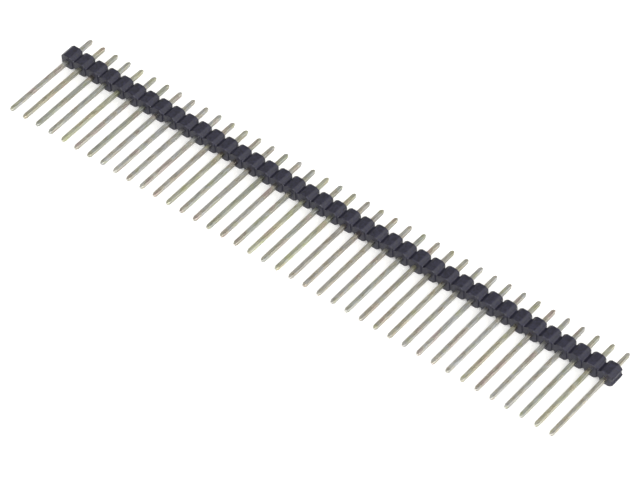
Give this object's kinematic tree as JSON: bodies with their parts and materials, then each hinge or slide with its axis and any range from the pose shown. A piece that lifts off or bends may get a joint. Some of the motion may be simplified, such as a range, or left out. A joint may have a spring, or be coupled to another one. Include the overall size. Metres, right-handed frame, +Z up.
{
  "type": "pin header strip",
  "caption": "Straight single-row pin header with long square posts through a notched black break-away housing, lying at rest.",
  "frame": {"origin": "on the surface the strip rests on, under the middle of its bounding box", "axes": "+X along the row from pin_01 to pin_40, +Z up; the solder tails point along +Y and the long posts along -Y, and both run 4.70 degrees off level, tails high, because the strip lies on its housing's lower front edge and its post tips"},
  "size_m": [0.1014, 0.0176, 0.0027],
  "materials": {
    "housing_plastic": "semi-matt moulded black plastic",
    "tinned_pin": "bright tin plating over brass, faintly warm silver"
  },
  "bodies": {
    "root": {"housing": "housing_plastic", "pin_01": "tinned_pin", "pin_02": "tinned_pin", "pin_03": "tinned_pin", "pin_04": "tinned_pin", "pin_05": "tinned_pin", "pin_06": "tinned_pin", "pin_07": "tinned_pin", "pin_08": "tinned_pin", "pin_09": "tinned_pin", "pin_10": "tinned_pin", "pin_11": "tinned_pin", "pin_12": "tinned_pin", "pin_13": "tinned_pin", "pin_14": "tinned_pin", "pin_15": "tinned_pin", "pin_16": "tinned_pin", "pin_17": "tinned_pin", "pin_18": "tinned_pin", "pin_19": "tinned_pin", "pin_20": "tinned_pin", "pin_21": "tinned_pin", "pin_22": "tinned_pin", "pin_23": "tinned_pin", "pin_24": "tinned_pin", "pin_25": "tinned_pin", "pin_26": "tinned_pin", "pin_27": "tinned_pin", "pin_28": "tinned_pin", "pin_29": "tinned_pin", "pin_30": "tinned_pin", "pin_31": "tinned_pin", "pin_32": "tinned_pin", "pin_33": "tinned_pin", "pin_34": "tinned_pin", "pin_35": "tinned_pin", "pin_36": "tinned_pin", "pin_37": "tinned_pin", "pin_38": "tinned_pin", "pin_39": "tinned_pin", "pin_40": "tinned_pin"}
  },
  "joints": []
}
